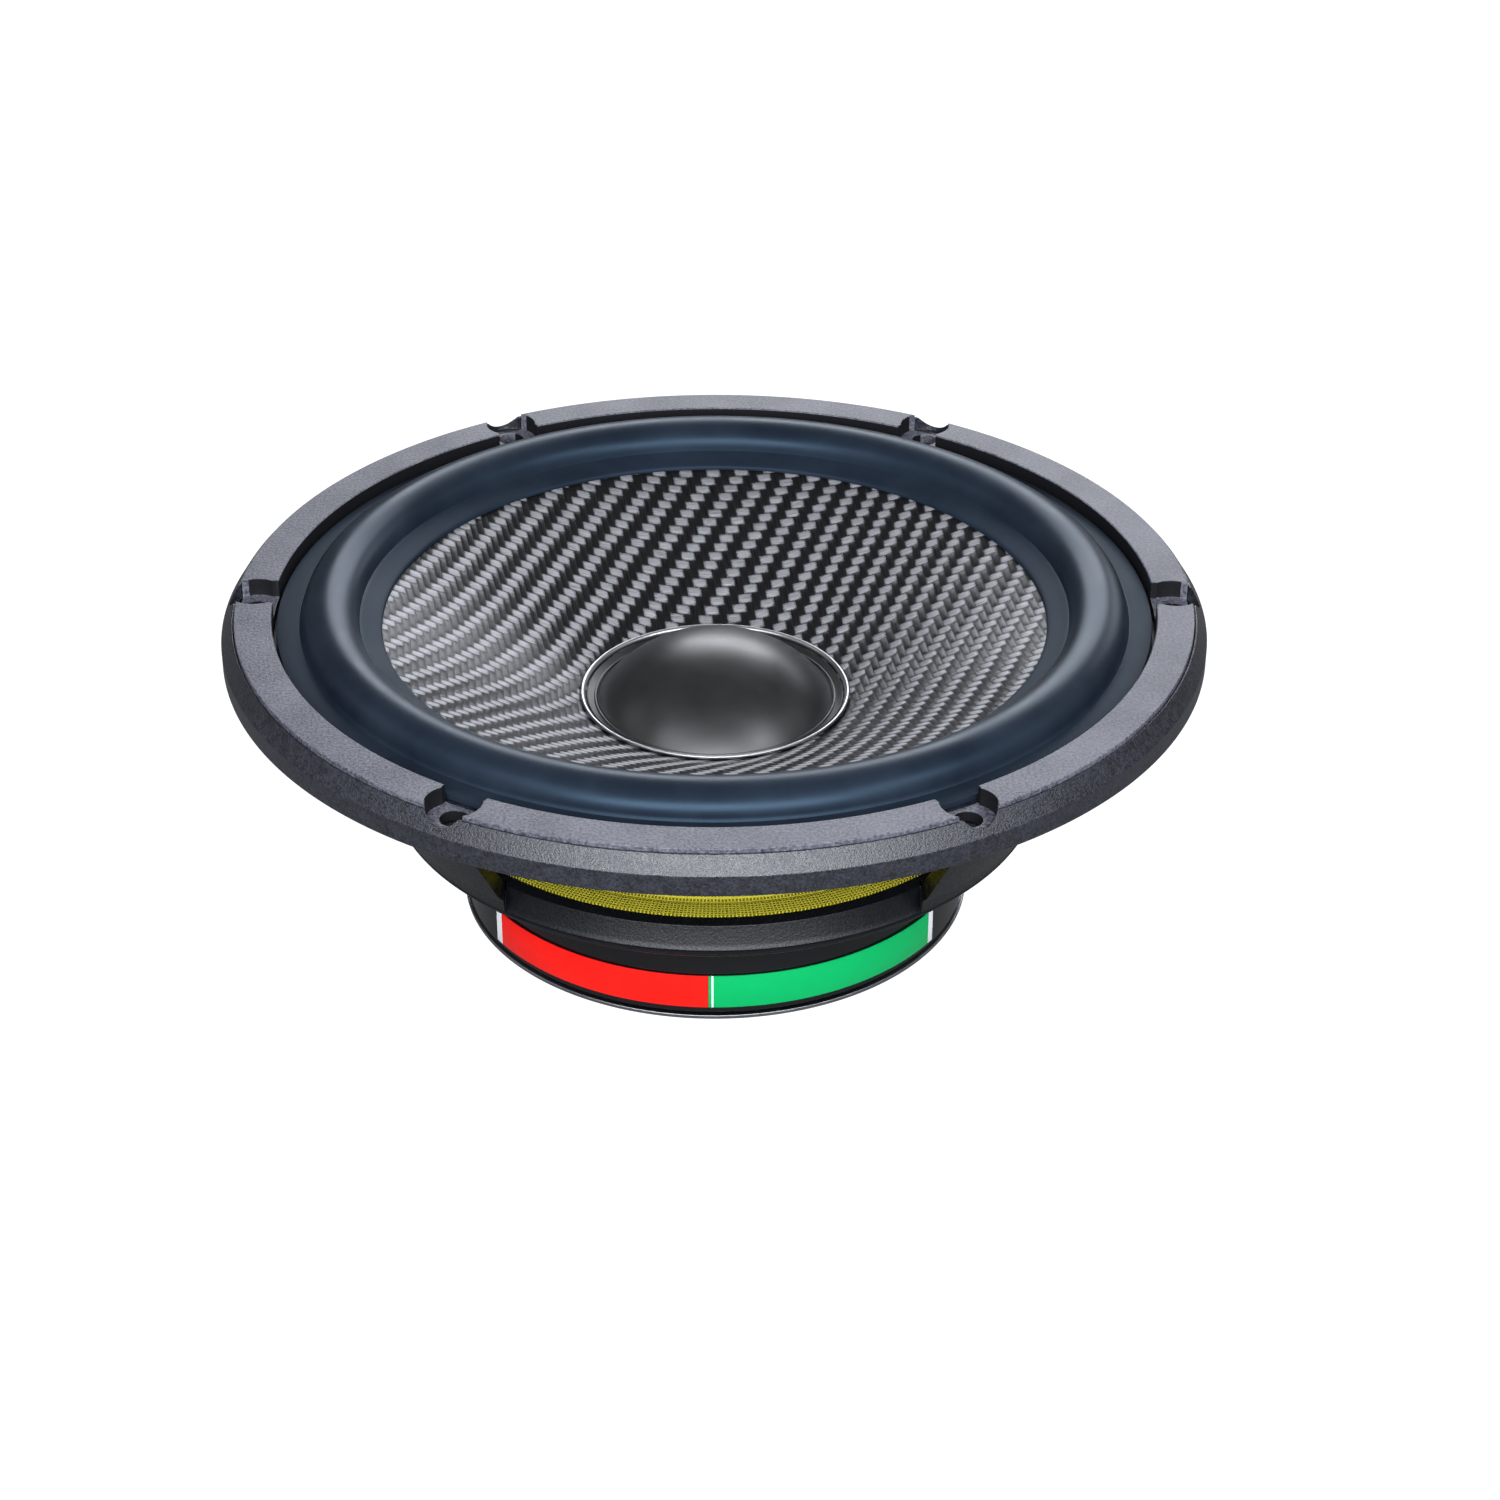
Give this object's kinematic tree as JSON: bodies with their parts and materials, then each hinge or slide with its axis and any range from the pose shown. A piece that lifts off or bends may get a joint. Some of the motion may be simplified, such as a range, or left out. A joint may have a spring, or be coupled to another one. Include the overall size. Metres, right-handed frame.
{
  "type": "car speaker driver",
  "caption": "Round car speaker driver: cast chassis with notched flange, rubber roll surround, woven cone, domed dust cap and a covered ring-magnet motor.",
  "frame": {"origin": "centre of the motor's flat rear face, on the driver's axis", "axes": "+Z along the axis towards the listener; a screw notch lies on +X and the terminal block is on the +Y side"},
  "size_m": [0.165, 0.165, 0.0588],
  "materials": {
    "cast_chassis": "textured black powder coat on cast alloy",
    "trim_ring": "fine-grained grey moulded ring",
    "surround_rubber": "smooth satin butyl rubber",
    "woven_cone": "carbon twill in clear resin",
    "dust_cap": "satin black moulding",
    "bright_ring": "polished",
    "spider_cloth": "resin-treated yellow woven cloth",
    "coil_former": "amber polyimide film",
    "copper_wire": "enamelled copper, wound",
    "plated_steel": "bright zinc plate",
    "ferrite": "ground ferrite",
    "gloss_cover": "polished black",
    "label_red": "printed film",
    "label_green": "printed film",
    "terminal_board": "moulded phenolic",
    "terminal_brass": "bright brass blade",
    "tinsel_braid": "braided copper tinsel"
  },
  "bodies": {
    "frame": {"basket": "cast_chassis", "trim_ring": "trim_ring", "surround": "surround_rubber", "spider": "spider_cloth", "top_plate": "plated_steel", "magnet": "ferrite", "yoke": "plated_steel", "magnet_cover": "gloss_cover", "label_red": "label_red", "label_green": "label_green", "motor_screw_1": "plated_steel", "motor_screw_2": "plated_steel", "motor_screw_3": "plated_steel", "terminal_block": "terminal_board", "terminal_positive": "terminal_brass", "terminal_negative": "plated_steel", "terminal_rivet_1": "plated_steel", "terminal_rivet_2": "plated_steel", "tinsel_lead_1": "tinsel_braid", "tinsel_lead_2": "tinsel_braid"},
    "cone_assembly": {"cone": "woven_cone", "dust_cap": "dust_cap", "cap_ring": "bright_ring", "voice_coil_former": "coil_former", "voice_coil_winding": "copper_wire"}
  },
  "joints": [
    {"name": "cone_excursion", "type": "slide", "parent": "frame", "child": "cone_assembly", "axis": [0, 0, 1], "range_m": [-0.004, 0.004], "stiffness_N_per_m": 1250, "deforming": ["surround", "spider", "tinsel_lead_1", "tinsel_lead_2"]}
  ]
}
